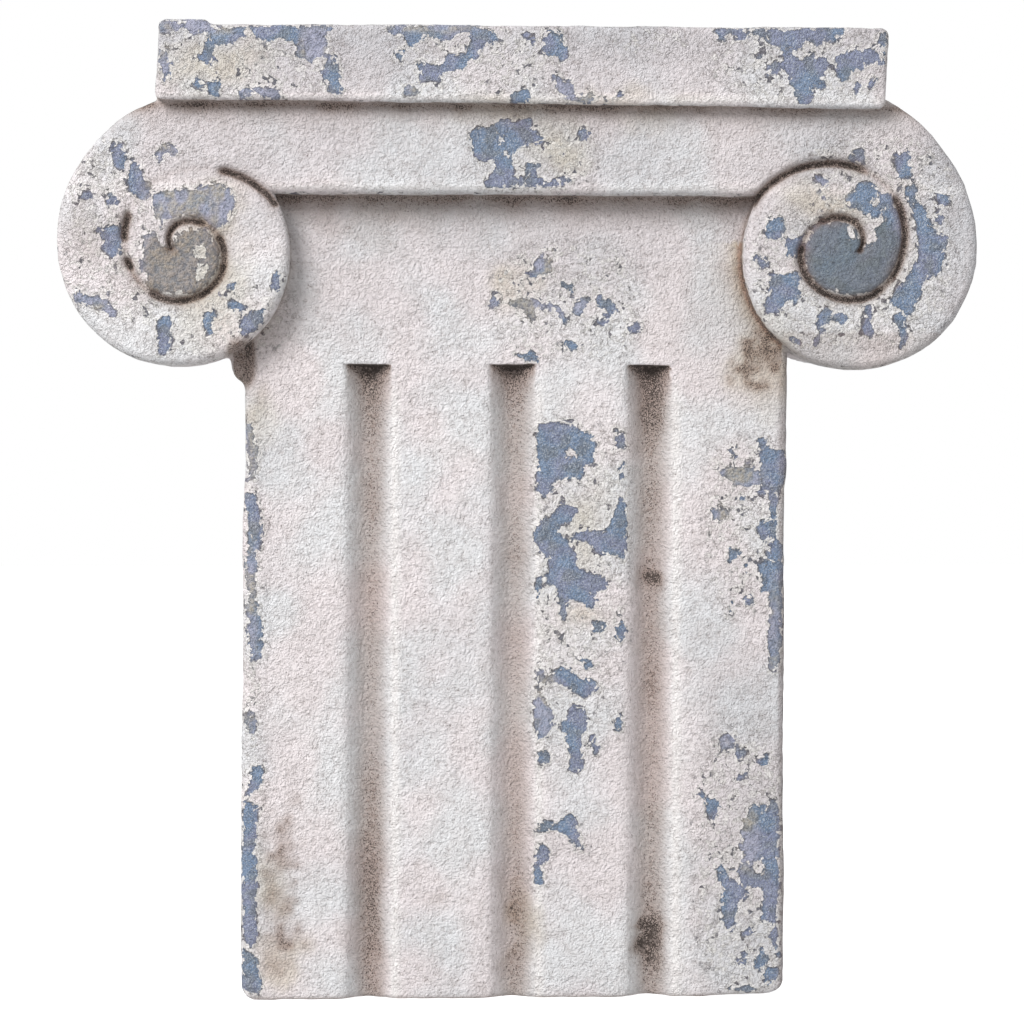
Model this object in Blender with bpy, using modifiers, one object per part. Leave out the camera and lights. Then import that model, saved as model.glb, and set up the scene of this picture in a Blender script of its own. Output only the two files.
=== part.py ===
"""Decorative column: one flat-backed plaster casting that stands on its own foot.

A short fluted shaft carries a scrolled capital: a straight band that curls into a scroll at each end,
under a plain slab. The front faces -Y, the flat back is at +Y, and the foot stands on Z = 0.
All sizes are in metres.
"""

import math

import bmesh
import bpy

# Overall depth, from the slab's front to the flat back. The slab stands furthest forward.
DEPTH = 0.128
BACK_Y = DEPTH / 2

# Slab on top
SLAB_WIDTH = 0.350
SLAB_HEIGHT = 0.0375
SLAB_ROUNDING = 0.003

# Scrolled band under the slab
BAND_HEIGHT = 0.043
BAND_SETBACK = 0.009
BAND_ROUNDING = 0.0045

# Scrolls. A radius is given at each quarter turn from straight up, going outwards first, as a share
# of the radius at the outermost point. The rim comes back up to the band's lower edge, and the groove
# carries that edge on into the eye. Behind its front plate each scroll goes on as a narrower drum.
SCROLL_SPACING = 0.326
SCROLL_RADIUS = 0.060
SCROLL_INTO_SLAB = 0.004
SCROLL_PLATE_DEPTH = 0.026
RIM_SHARES = (1.25, 1.0, 0.94, 0.88, 0.92)
DRUM_SHARES = (1.23, 0.89, 0.82, 0.765, 0.84)
GROOVE_FIRST_QUARTER = 3
GROOVE_SHARES = (1.0, 0.71, 0.42, 0.39, 0.415, 0.26, 0.035)
GROOVE_END_QUARTER = 8.75
GROOVE_RADIUS = 0.0027
GROOVE_SINK = 0.0006
GROOVE_RUN_OUT = 0.07
STEPS_PER_QUARTER = 14

# Shaft
SHAFT_WIDTH = 0.263
SHAFT_HEIGHT = 0.3915
SHAFT_SETBACK = 0.025
SHAFT_ROUNDING = 0.006

# Flutes
FLUTE_COUNT = 3
FLUTE_SPACING = 0.0685
FLUTE_WIDTH = 0.022
FLUTE_DEPTH = 0.0085
FLUTE_HEIGHT = 0.3095
FLUTE_SIDES = 40

# How far joined pieces reach into each other, and cutters reach past a face
OVERLAP = 0.012

# Levels and faces that follow from the sizes
BAND_BOTTOM_Z = SHAFT_HEIGHT
SLAB_BOTTOM_Z = BAND_BOTTOM_Z + BAND_HEIGHT
SCROLL_CENTRE_Z = SLAB_BOTTOM_Z + SCROLL_INTO_SLAB - RIM_SHARES[0] * SCROLL_RADIUS
SLAB_FRONT_Y = -DEPTH / 2
BAND_FRONT_Y = SLAB_FRONT_Y + BAND_SETBACK
PLATE_BACK_Y = BAND_FRONT_Y + SCROLL_PLATE_DEPTH
SHAFT_FRONT_Y = SLAB_FRONT_Y + SHAFT_SETBACK

PLASTER_COLOUR = (0.62, 0.57, 0.56, 1.0)
PLASTER_ROUGHNESS = 0.9
BEVEL_SEGMENTS = 3
SMOOTH_ANGLE = math.radians(35)
BEVEL_ANGLE = math.radians(60)
FLAT_ANGLE = math.radians(0.5)


def clear_scene():
    for obj in list(bpy.data.objects):
        bpy.data.objects.remove(obj, do_unlink=True)


def new_collection(name):
    collection = bpy.data.collections.new(name)
    bpy.context.scene.collection.children.link(collection)
    return collection


def move_to(obj, collection):
    for old in obj.users_collection:
        old.objects.unlink(obj)
    collection.objects.link(obj)


def as_helper(obj, collection):
    """A shape that only cuts or joins: kept out of the render and drawn as wire."""
    move_to(obj, collection)
    obj.hide_render = True
    obj.display_type = "WIRE"
    return obj


def plaster_material():
    material = bpy.data.materials.new("weathered_plaster")
    material.use_nodes = True
    shader = material.node_tree.nodes["Principled BSDF"]
    shader.inputs["Base Color"].default_value = PLASTER_COLOUR
    shader.inputs["Roughness"].default_value = PLASTER_ROUGHNESS
    shader.inputs["Metallic"].default_value = 0.0
    return material


def block(name, low, high):
    """A box between two corners, with its scale already applied."""
    bpy.ops.mesh.primitive_cube_add(size=1.0)
    obj = bpy.context.active_object
    obj.name = name
    for vertex in obj.data.vertices:
        vertex.co = [a + (b - a) * (c + 0.5) for a, b, c in zip(low, high, vertex.co)]
    return obj


def round_edges(obj, radius):
    bevel = obj.modifiers.new("rounded edges", "BEVEL")
    bevel.width = radius
    bevel.segments = BEVEL_SEGMENTS
    bevel.limit_method = "ANGLE"
    bevel.angle_limit = BEVEL_ANGLE


def round_front_rim(obj, radius):
    """Rounds only the edges around an extruded outline's front face, which is its own highest Z."""
    front = max(vertex.co.z for vertex in obj.data.vertices)
    ends = [vertex.co.z > front - radius / 10 for vertex in obj.data.vertices]
    weights = obj.data.attributes.new("bevel_weight_edge", "FLOAT", "EDGE")
    for edge, weight in zip(obj.data.edges, weights.data):
        weight.value = float(all(ends[index] for index in edge.vertices))
    bevel = obj.modifiers.new("rounded rim", "BEVEL")
    bevel.width = radius
    bevel.segments = BEVEL_SEGMENTS
    bevel.limit_method = "WEIGHT"
    bevel.use_clamp_overlap = False


def combine(obj, other, operation):
    boolean = obj.modifiers.new(f"{operation.lower()} {other.name}", "BOOLEAN")
    boolean.operation = operation
    boolean.solver = "EXACT"
    boolean.object = other


def smooth_share(shares, place):
    """A smooth cubic through evenly spaced shares, read at this place along them."""
    last = len(shares) - 1
    first = min(int(place), last - 1)
    part = place - first
    before, a, b, after = (shares[max(0, min(last, first + k))] for k in (-1, 0, 1, 2))
    rise_a = (b - before) / 2
    rise_b = (after - a) / 2
    return (
        a * (1 + 2 * part) * (1 - part) ** 2
        + rise_a * part * (1 - part) ** 2
        + b * part**2 * (3 - 2 * part)
        + rise_b * part**2 * (part - 1)
    )


def polar_point(quarters, share, side):
    """A point of a scroll in the front view. side is 1 for the right-hand scroll and -1 for the left."""
    angle = quarters * math.pi / 2
    radius = share * SCROLL_RADIUS
    x = side * (SCROLL_SPACING / 2 + radius * math.sin(angle))
    return x, SCROLL_CENTRE_Z + radius * math.cos(angle)


def rim_point(shares, quarters, side):
    return polar_point(quarters, smooth_share(shares, quarters), side)


def groove_point(quarters, side):
    return polar_point(quarters, smooth_share(GROOVE_SHARES, quarters - GROOVE_FIRST_QUARTER), side)


def meeting_quarter(shares, level):
    """Where a rim comes back up to this level beside the shaft, in quarter turns."""
    low, high = 3.0, 4.0
    for _ in range(40):
        middle = (low + high) / 2
        if rim_point(shares, middle, 1)[1] < level:
            low = middle
        else:
            high = middle
    return low


def front_curve(name, points, closed):
    """A poly spline through points of the front view, lying in the curve's own XY plane."""
    curve = bpy.data.curves.new(name, "CURVE")
    curve.dimensions = "2D" if closed else "3D"
    spline = curve.splines.new("POLY")
    spline.points.add(len(points) - 1)
    for spline_point, (x, z) in zip(spline.points, points):
        spline_point.co = (x, z, 0.0, 1.0)
    spline.use_cyclic_u = closed
    obj = bpy.data.objects.new(name, curve)
    obj.rotation_euler = (math.pi / 2, 0.0, 0.0)
    bpy.context.scene.collection.objects.link(obj)
    return obj


def curve_to_mesh(obj):
    """The curve as a mesh object with welded caps, in the curve's place. The curve is removed."""
    bpy.context.view_layer.update()
    graph = bpy.context.evaluated_depsgraph_get()
    mesh = bpy.data.meshes.new_from_object(obj.evaluated_get(graph))
    work = bmesh.new()
    work.from_mesh(mesh)
    bmesh.ops.remove_doubles(work, verts=work.verts, dist=0.00001)
    bmesh.ops.dissolve_limit(work, angle_limit=FLAT_ANGLE, verts=work.verts, edges=work.edges)
    bmesh.ops.recalc_face_normals(work, faces=work.faces)
    work.to_mesh(mesh)
    work.free()
    name = obj.name
    solid = bpy.data.objects.new(name, mesh)
    solid.matrix_world = obj.matrix_world
    bpy.context.scene.collection.objects.link(solid)
    bpy.data.objects.remove(obj, do_unlink=True)
    solid.name = name
    return solid


def scrolled_slice(name, shares, underside, front_y, back_y):
    """A band that curls into a scroll at each end, carried straight back from front_y to back_y."""
    end = meeting_quarter(shares, underside)
    count = math.ceil(end * STEPS_PER_QUARTER)
    steps = [end * i / count for i in range(count + 1)]
    right = [rim_point(shares, q, 1) for q in steps]
    left = [rim_point(shares, q, -1) for q in reversed(steps)]
    outline = front_curve(name, right + left, closed=True)
    outline.data.fill_mode = "BOTH"
    outline.data.extrude = (back_y - front_y) / 2
    outline.location = (0.0, (front_y + back_y) / 2, 0.0)
    return curve_to_mesh(outline)


def scrolled_band():
    """The band and the scrolls' front plates, with rounded rims."""
    band = scrolled_slice("scrolled_band", RIM_SHARES, BAND_BOTTOM_Z, BAND_FRONT_Y, PLATE_BACK_Y)
    round_front_rim(band, BAND_ROUNDING)
    return band


def drums():
    """The scrolls' narrower drums behind their plates, joined by a bar that lies inside the shaft."""
    underside = BAND_BOTTOM_Z + OVERLAP / 2
    return scrolled_slice("drums", DRUM_SHARES, underside, PLATE_BACK_Y - OVERLAP, BACK_Y + OVERLAP)


def scroll_groove(side):
    """The cutter for one scroll's spiral groove: a round bar that follows the spiral just under the face."""
    start = meeting_quarter(RIM_SHARES, BAND_BOTTOM_Z) - GROOVE_RUN_OUT
    count = round((GROOVE_END_QUARTER - start) * STEPS_PER_QUARTER)
    steps = [start + (GROOVE_END_QUARTER - start) * i / count for i in range(count + 1)]
    name = "groove_right" if side > 0 else "groove_left"
    path = front_curve(name, [groove_point(q, side) for q in steps], closed=False)
    path.data.bevel_depth = GROOVE_RADIUS
    path.data.bevel_resolution = 2
    path.data.use_fill_caps = True
    path.location = (0.0, BAND_FRONT_Y + GROOVE_SINK, 0.0)
    return curve_to_mesh(path)


def flute_cutter(number):
    """A flattened round bar whose top end leaves the flute's square stop."""
    x = (number - (FLUTE_COUNT - 1) / 2) * FLUTE_SPACING
    length = FLUTE_HEIGHT + OVERLAP
    bpy.ops.mesh.primitive_cylinder_add(vertices=FLUTE_SIDES, radius=1.0, depth=length)
    cutter = bpy.context.active_object
    cutter.name = f"flute_{number + 1}"
    for vertex in cutter.data.vertices:
        vertex.co.x *= FLUTE_WIDTH / 2
        vertex.co.y *= FLUTE_DEPTH
    cutter.location = (x, SHAFT_FRONT_Y, FLUTE_HEIGHT - length / 2)
    return cutter


def shaft():
    """The shaft's block, run up through the band into the slab and past the back, where it is trimmed."""
    low = (-SHAFT_WIDTH / 2, SHAFT_FRONT_Y, 0.0)
    high = (SHAFT_WIDTH / 2, BACK_Y + OVERLAP, SLAB_BOTTOM_Z + SLAB_HEIGHT / 2)
    return block("column", low, high)


def slab():
    low = (-SLAB_WIDTH / 2, SLAB_FRONT_Y, SLAB_BOTTOM_Z)
    high = (SLAB_WIDTH / 2, BACK_Y + OVERLAP / 2, SLAB_BOTTOM_Z + SLAB_HEIGHT)
    return block("slab", low, high)


def wall():
    """The cutter that trims every piece flush at the back."""
    reach = SCROLL_SPACING / 2 + SCROLL_RADIUS * max(RIM_SHARES) + OVERLAP
    low = (-reach, BACK_Y, -OVERLAP)
    high = (reach, BACK_Y + 2 * OVERLAP, SLAB_BOTTOM_Z + SLAB_HEIGHT + OVERLAP)
    return block("wall", low, high)


def main():
    clear_scene()
    part = new_collection("decorative_column")
    cutters = new_collection("joined_and_cut_shapes")

    column = shaft()
    move_to(column, part)
    column.data.materials.append(plaster_material())
    round_edges(column, SHAFT_ROUNDING)

    for shape in (scrolled_band(), drums()):
        combine(column, as_helper(shape, cutters), "UNION")
    top = as_helper(slab(), cutters)
    round_edges(top, SLAB_ROUNDING)
    combine(column, top, "UNION")

    for number in range(FLUTE_COUNT):
        combine(column, as_helper(flute_cutter(number), cutters), "DIFFERENCE")
    for side in (1, -1):
        combine(column, as_helper(scroll_groove(side), cutters), "DIFFERENCE")
    combine(column, as_helper(wall(), cutters), "DIFFERENCE")

    column.data.shade_smooth()
    column.data.set_sharp_from_angle(angle=SMOOTH_ANGLE)


main()
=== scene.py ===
"""Weathered plaster half column: one flat-backed casting with a fluted shaft, a scrolled band and a slab.

The casting is one closed surface, found where a solid's depth field passes through zero. Lengths of the
casting are in millimetres until its mesh is made. Places marked "seen" are in the picture's own pixels,
1024 wide, as judged, and are carried to the surface by the camera's own perspective.
"""

import math

import bpy
import numpy as np
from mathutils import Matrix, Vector


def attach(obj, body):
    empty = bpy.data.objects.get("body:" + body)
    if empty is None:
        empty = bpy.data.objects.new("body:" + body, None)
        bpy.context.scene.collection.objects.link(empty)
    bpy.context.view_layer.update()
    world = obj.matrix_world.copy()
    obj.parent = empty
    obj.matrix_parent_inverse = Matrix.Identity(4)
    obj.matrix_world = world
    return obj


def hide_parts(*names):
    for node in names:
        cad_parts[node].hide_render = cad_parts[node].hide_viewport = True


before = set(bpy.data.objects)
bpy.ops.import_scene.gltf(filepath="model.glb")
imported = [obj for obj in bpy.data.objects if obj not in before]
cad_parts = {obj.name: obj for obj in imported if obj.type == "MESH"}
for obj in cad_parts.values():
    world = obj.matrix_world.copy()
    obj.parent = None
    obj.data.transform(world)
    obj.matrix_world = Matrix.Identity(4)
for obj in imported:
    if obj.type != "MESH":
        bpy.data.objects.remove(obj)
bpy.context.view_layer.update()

MM = 0.001

# Camera: level, at half the picture's height, a little to the left of the column's middle
VIEW_DISTANCE = 1500.0
VIEW_TURN = math.radians(3.0)
MM_A_PIXEL = 0.4835
PICTURE_SIZE = 1024
EYE_LEVEL = 237.8
SEEN_MIDDLE = 516.5
HEAD_FRONT = -55.0
SENSOR_WIDTH = 36.0

# Light: the backdrop shows white, and lights the casting with this share of its own brightness. Places
# are in metres, the key light's power in watts
SKY_LIGHT = 0.615
FLOOR_GLOW = 0.8
FLOOR_REACH = 12.0
KEY_PLACE = (-1.9, -2.3, 2.2)
KEY_SIZE = 1.5
KEY_POWER = 121.0
LIT_MIDDLE = (0.0, 0.0, 0.25)

# Faces and levels of the casting
BACK = 64.0
SLAB_FRONT = -64.0
SHAFT_FRONT = -39.0
SLAB_TOP = 471.8
SLAB_BOTTOM = 435.2
SLAB_MIDDLE = 3.3
SLAB_HALF_WIDTH = 176.3
HEAD_TOP = 446.0
BAND_BOTTOM = 391.9
BAND_HALF_WIDTH = 163.0
SHAFT_LEFT = -131.7
SHAFT_RIGHT = 133.2
SHAFT_HALF_HEIGHT = 220.0
FOOT_CORNER = 8.0

# How far worn edges are rounded, in front and at the slab's ends
HEAD_ROUNDING = 4.8
SLAB_ROUNDING = 3.2
SLAB_CORNER = 4.0

# The lump of old mortar: its middle and its half sizes
MORTAR_PLACE = (-133.5, -30.0, 311.0)
MORTAR_HALF = (5.0, 6.5, 9.0)

# Where the surface counts as slab, as band and as scroll
SLAB_FROM = 434.0
BAND_FROM = 391.5
SCROLLS_FROM = 137.0

# The grid that the casting's skin is found on: its steps over the scrolls, over the rest of the front and
# at the back, and the places in each direction where the step changes
SCROLL_STEP = 0.85
FRONT_STEP = 1.4
BACK_STEP = 4.5
GRID_ACROSS = (-229.0, -100.0, 100.0, 231.0)
GRID_BACK = (-68.0, -48.0, -24.0, 69.0)
GRID_UP = (-3.9, 300.0, 446.0, 478.0)
MOST_TRIANGLES = 190000

# Distances that stand for far off, in millimetres and in the picture's pixels
FAR = 99.0
FAR_SEEN = 60.0

# Unevenness of the hand-finished skin: the size of the lumps and how high they stand
SWELLS = ((46.0, 0.35), (17.0, 0.26), (7.5, 0.20), (3.9, 0.17))
LUMP_TABLE = (128, 64, 128)
LUMP_OFFSET = 1000.0


# Working out shapes


def steps(low, high, step):
    """Even places from low to high, no further apart than step."""
    return np.linspace(low, high, math.ceil((high - low) / step) + 1)


def grid(bounds, spacing):
    """Places from the first bound to the last, with its own spacing between each two bounds."""
    runs = [steps(low, high, step)[:-1] for low, high, step in zip(bounds, bounds[1:], spacing)]
    return np.concatenate(runs + [[bounds[-1]]])


def cubic_through(values, place):
    """A smooth curve through evenly spaced values: a cubic between neighbours, whose slope at each value
    is half the difference of the values on either side."""
    values = np.asarray(values, float)
    place = np.clip(place, 0.0, len(values) - 1.000001)
    first = place.astype(int)
    part = place - first
    last = len(values) - 1
    before = values[np.maximum(first - 1, 0)]
    here = values[first]
    there = values[first + 1]
    after = values[np.minimum(first + 2, last)]
    return (
        here * (1 + 2 * part) * (1 - part) ** 2
        + (there - before) / 2 * part * (1 - part) ** 2
        + there * part**2 * (3 - 2 * part)
        + (after - here) / 2 * part**2 * (part - 1)
    )


def ramp(value, low, high):
    """0 below low, 1 above high, and an S-shaped rise between them."""
    t = np.clip((value - low) / (high - low), 0.0, 1.0)
    return t * t * (3 - 2 * t)


def smooth_join(a, b, reach):
    """The nearer of two solids, with their meeting filled to a soft cove of this reach."""
    share = np.clip(0.5 + 0.5 * (b - a) / reach, 0.0, 1.0)
    return b + (a - b) * share - reach * share * (1 - share)


def smooth_cut(solid, cutter, reach):
    """A solid less a cutter, with the edge of the cut worn to this reach."""
    return -smooth_join(-solid, cutter, reach)


def rounded_slice(outline, front, rounding):
    """An outline carried back from its front face, with the rim between the two rounded."""
    across = np.maximum(outline + rounding, 0.0)
    along = np.maximum(front + rounding, 0.0)
    return np.hypot(across, along) + np.minimum(np.maximum(outline, front) + rounding, 0.0) - rounding


def rounded_box(x, z, centre, half, corner):
    """A rectangle's outline in the front view with rounded corners."""
    dx = np.abs(x - centre[0]) - (half[0] - corner)
    dz = np.abs(z - centre[1]) - (half[1] - corner)
    return np.hypot(np.maximum(dx, 0), np.maximum(dz, 0)) + np.minimum(np.maximum(dx, dz), 0) - corner


def lump_noise(points, size, seed):
    """Lumps of this size: random heights from -1 to 1 at the corners of cubes, joined by S-shaped fades."""
    table = np.random.default_rng(seed).uniform(-1.0, 1.0, LUMP_TABLE)
    scaled = points / size + LUMP_OFFSET
    low = np.floor(scaled).astype(int)
    part = scaled - low
    fade = part * part * (3 - 2 * part)
    total = np.zeros(len(points))
    for corner in np.ndindex(2, 2, 2):
        share = np.ones(len(points))
        for axis in range(3):
            share = share * (fade[:, axis] if corner[axis] else 1 - fade[:, axis])
        index = (low + corner) % LUMP_TABLE
        total += share * table[index[:, 0], index[:, 1], index[:, 2]]
    return total


def surface_net(field, xs, ys, zs):
    """A closed skin where the field passes through zero: in every cell that the skin crosses one vertex,
    at the mean of the crossings on the cell's edges, and one quad around every crossed edge."""
    inside = field < 0
    shape = np.array(field.shape) - 1
    count = np.zeros(shape, np.int8)
    for corner in np.ndindex(2, 2, 2):
        count += inside[tuple(slice(c, c + n) for c, n in zip(corner, shape))]
    cells = np.argwhere((count > 0) & (count < 8))
    number = np.full(shape, -1, np.int32)
    number[tuple(cells.T)] = np.arange(len(cells))
    total = np.zeros((len(cells), 3))
    hits = np.zeros(len(cells))
    for axis in range(3):
        for side in np.ndindex(2, 2):
            start = np.insert(side, axis, 0)
            end = np.insert(side, axis, 1)
            a = field[tuple((cells + start).T)].astype(float)
            b = field[tuple((cells + end).T)].astype(float)
            crossed = (a < 0) != (b < 0)
            part = np.where(crossed, a / np.where(crossed, a - b, 1.0), 0.0)
            total += crossed[:, None] * (start + part[:, None] * (end - start))
            hits += crossed
    place = cells + total / hits[:, None]
    points = np.stack(
        [np.interp(place[:, axis], np.arange(len(line)), line) for axis, line in enumerate((xs, ys, zs))], 1
    )
    quads = []
    for axis in range(3):
        near = [slice(1, -1)] * 3
        near[axis] = slice(0, -1)
        far = list(near)
        far[axis] = slice(1, None)
        start_in = inside[tuple(near)]
        crossed = np.argwhere(start_in != inside[tuple(far)])
        facing = start_in[tuple(crossed.T)]
        node = crossed + np.array([0 if k == axis else 1 for k in range(3)])
        b, c = np.eye(3, dtype=int)[(axis + 1) % 3], np.eye(3, dtype=int)[(axis + 2) % 3]
        ring = np.stack([number[tuple((node - shift).T)] for shift in (b + c, c, 0 * b, b)], 1)
        quads.append(np.where(facing[:, None], ring, ring[:, ::-1]))
    return points, np.concatenate(quads)


# The casting's form


class Scroll:
    """One scroll: where its eye is and which way it turns. Its rim's radius is in millimetres at each
    eighth of a turn, counted from straight up and outwards first, and its groove's at each quarter turn
    from the third one on. The groove is partly filled from one turn to another, by a share."""

    def __init__(self, side, x, z, rim, groove, filled):
        self.side = side
        self.x = x
        self.z = z
        self.rim_radius = rim
        self.groove = groove
        self.filled = filled

    def polar(self, x, z):
        """Distance from the eye, and quarter turns from straight up, outwards first."""
        across = (x - self.x) * self.side
        up = z - self.z
        return np.hypot(across, up), np.arctan2(across, up) % (2 * math.pi) / (math.pi / 2)

    def rim(self, x, z):
        """How far outside the scroll's rim a point of the front view is: the radii's difference, and a
        little less, because the rim runs aslant."""
        radius, quarter = self.polar(x, z)
        return (radius - cubic_through(self.rim_radius, quarter * 2)) * 0.98

    def groove_place(self, x, z):
        """Distance to the groove's middle line, and how many quarter turns along it that is."""
        radius, quarter = self.polar(x, z)
        best = np.full(np.shape(radius), FAR)
        where = np.zeros(np.shape(radius))
        for turn in range(3):
            along = np.clip(quarter + 4 * turn, GROOVE_START, GROOVE_FIRST + GROOVE_TURNS)
            line = cubic_through(self.groove, along - GROOVE_FIRST)
            bend = (quarter + 4 * turn - along) * math.pi / 2
            gap = np.hypot(radius * np.cos(bend) - line, radius * np.sin(bend))
            gap = np.where(np.abs(bend) > 1.5, FAR, gap)
            where = np.where(gap < best, along, where)
            best = np.minimum(gap, best)
        return best, where


# The groove in quarter turns: where its first radius is given, where it starts, how far it can run from
# the first radius, and how softly a filled stretch ends
GROOVE_FIRST = 3.0
GROOVE_START = 3.3
GROOVE_TURNS = 5.75
FILLED_FADE = 0.08
GROOVE_DEPTH = 4.0
GROOVE_REACH = 2.2
RIGHT_RIM = (79.8, 67.2, 61.6, 59.2, 56.1, 54.3, 52.7, 55.3, 75.0)
RIGHT_GROOVE = (57.0, 42.1, 25.1, 23.2, 24.7, 15.5, 1.5)
LEFT_RIM = (75.0, 64.7, 58.5, 56.6, 54.9, 54.3, 52.7, 55.3, 75.0)
LEFT_GROOVE = (55.0, 38.5, 26.0, 24.1, 21.3, 13.2, 2.5)
RIGHT_FILLED = ((4.15, 4.39, 0.6), (5.38, 5.5, 0.3), (7.12, 7.45, 0.45))
LEFT_FILLED = ((3.75, 4.55, 0.85), (4.92, 5.05, 0.7), (5.28, 5.58, 0.5), (7.27, 7.48, 0.5))
RIGHT_SCROLL = Scroll(1, 163.6, 364.0, RIGHT_RIM, RIGHT_GROOVE, RIGHT_FILLED)
LEFT_SCROLL = Scroll(-1, -162.2, 363.4, LEFT_RIM, LEFT_GROOVE, LEFT_FILLED)
SCROLLS = (RIGHT_SCROLL, LEFT_SCROLL)
PLATE_BACK = -29.0
DRUM_INSET = 7.0
EYE_HEIGHT = 1.3
EYE_RADIUS = 25.0

FLUTES = (-72.0, -1.6, 65.6)
FLUTE_SOOT = (0.67, 0.62, 0.71)
FLUTE_HALF_WIDTH = 11.2
FLUTE_DEPTH = 8.5
FLUTE_TOP = 309.7


def near_groove(x, z, reach):
    """1 on the middle line of a scroll's groove, less where it is filled, and a bell-shaped fall to
    either side with this reach."""
    nearest = np.zeros(np.shape(x * z))
    for scroll in SCROLLS:
        gap, where = scroll.groove_place(x, z)
        share = np.exp(-((gap / reach) ** 2))
        for start, end, filled in scroll.filled:
            within = ramp(where, start - FILLED_FADE, start) * (1 - ramp(where, end, end + FILLED_FADE))
            share = share * (1 - filled * within)
        nearest = np.maximum(nearest, share)
    return nearest


def eye_rise(x, z):
    """The eyes stand a little proud of the scrolls, as low domes."""
    rise = np.zeros(np.shape(x * z))
    for scroll in SCROLLS:
        radius, _ = scroll.polar(x, z)
        rise = rise + EYE_HEIGHT * np.maximum(1 - (radius / EYE_RADIUS) ** 2, 0.0)
    return rise


def casting_field(x, y, z):
    """How far each point lies outside the casting: less than zero inside, zero on its skin."""
    # The shaft leans out a little towards its left foot, swells at its right shoulder, and its right
    # foot is a little short
    left = SHAFT_LEFT - 1.2 * ramp(262.0 - z, 0.0, 30.0) - 0.9 * ramp(170.0 - z, 0.0, 80.0)
    right = SHAFT_RIGHT + 1.2 * ramp(z, 245.0, 262.0) - 0.5 * ramp(120.0 - z, 0.0, 100.0)
    middle = (left + right) / 2
    half = (right - left) / 2
    arris = 4.6 + 1.6 * ramp(-x, 60.0, 130.0)
    shaft = rounded_slice(np.abs(x - middle) - half, SHAFT_FRONT - y, arris)
    foot = 1.6 * ramp(x, 80.0, 130.0)
    front_view = rounded_box(x, z - foot, (middle, SHAFT_HALF_HEIGHT), (half, SHAFT_HALF_HEIGHT), FOOT_CORNER)
    shaft = -smooth_join(-shaft, -front_view, 1.0)
    for flute in FLUTES:
        hollow = 1 - ramp(np.abs(x - flute), 0.0, 1.42 * FLUTE_HALF_WIDTH)
        channel = (y - SHAFT_FRONT + 1.6 - (FLUTE_DEPTH + 1.6) * hollow) * 0.75
        worn = 1.0 + 1.6 * ramp(FLUTE_TOP - z, 2.0, 26.0)
        shaft = smooth_cut(shaft, np.maximum(channel, z - FLUTE_TOP), worn)

    # Band and scrolls share one outline and one front face
    band_outline = np.maximum(BAND_BOTTOM - 0.001 * x - z, np.abs(x) - BAND_HALF_WIDTH)
    head_outline = smooth_join(band_outline, RIGHT_SCROLL.rim(x, z), 0.6)
    head_outline = smooth_join(head_outline, LEFT_SCROLL.rim(x, z), 0.6)
    head_outline = np.maximum(head_outline, z - HEAD_TOP)
    head_front = HEAD_FRONT + GROOVE_DEPTH * near_groove(x, z, GROOVE_REACH) - eye_rise(x, z) - y
    head = rounded_slice(head_outline, head_front, HEAD_ROUNDING)
    plate = smooth_cut(head, PLATE_BACK - y, 2.0)
    drum_outline = head_outline + DRUM_INSET * ramp(SLAB_FROM - z, 0.0, 30.0)
    drum = smooth_cut(drum_outline, y - PLATE_BACK + 8.0, 1.0)
    solid = smooth_join(smooth_join(shaft, plate, 2.6), drum, 3.0)

    # A lump of old mortar hangs under the left scroll, against the shaft
    across, behind, up = (
        (place - middle) / half for place, middle, half in zip((x, y, z), MORTAR_PLACE, MORTAR_HALF)
    )
    mortar = np.sqrt(across**2 + behind**2 + up**2)
    solid = smooth_join(solid, (mortar - 1.0) * MORTAR_HALF[0], 4.0)

    # The slab sits a little to the right, its ends lean, its underside drops to the right, and its left
    # end carries a small raised lump
    raised = 2.2 * ramp(-x, 146.0, 150.0) * (1 - ramp(y + 0.2 * x, -80.0, -62.0))
    top = SLAB_TOP + 0.5 * ramp(x, -150.0, 60.0) + raised
    under = SLAB_BOTTOM - 1.5 * ramp(x, -110.0, 90.0) - 1.0 * ramp(x, 90.0, 176.0)
    leaning = x - 0.05 * (z - 453.0)
    half_sizes = (SLAB_HALF_WIDTH, (top - under) / 2)
    slab_outline = rounded_box(leaning, z - (top + under) / 2, (SLAB_MIDDLE, 0.0), half_sizes, SLAB_CORNER)
    slab = rounded_slice(slab_outline, SLAB_FRONT - y, SLAB_ROUNDING)
    solid = smooth_join(solid, slab, 1.6)
    return -smooth_join(-solid, BACK - y, 2.0)


def casting_mesh():
    """The casting's skin on a grid that is finest over the scrolls and coarse behind the front."""
    xs = grid(GRID_ACROSS, (SCROLL_STEP, FRONT_STEP, SCROLL_STEP))
    ys = grid(GRID_BACK, (SCROLL_STEP, FRONT_STEP, BACK_STEP))
    zs = grid(GRID_UP, (FRONT_STEP, SCROLL_STEP, FRONT_STEP))
    field = casting_field(xs[:, None, None], ys[None, :, None], zs[None, None, :]).astype(np.float32)
    return surface_net(field, xs, ys, zs)


def new_mesh(name, points, faces):
    mesh = bpy.data.meshes.new(name)
    mesh.from_pydata(points, [], faces)
    mesh.update()
    return mesh


def read_points(mesh):
    points = np.empty(len(mesh.vertices) * 3)
    mesh.vertices.foreach_get("co", points)
    return points.reshape(-1, 3)


def read_normals(mesh):
    normals = np.empty(len(mesh.vertices) * 3)
    mesh.vertices.foreach_get("normal", normals)
    return normals.reshape(-1, 3)


def write_points(mesh, points):
    mesh.vertices.foreach_set("co", points.ravel())
    mesh.update()


def paint(mesh, name, values):
    """Stores one number for each vertex under this name."""
    attribute = mesh.attributes.new(name, "FLOAT", "POINT")
    attribute.data.foreach_set("value", np.asarray(values, np.float32))


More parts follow.
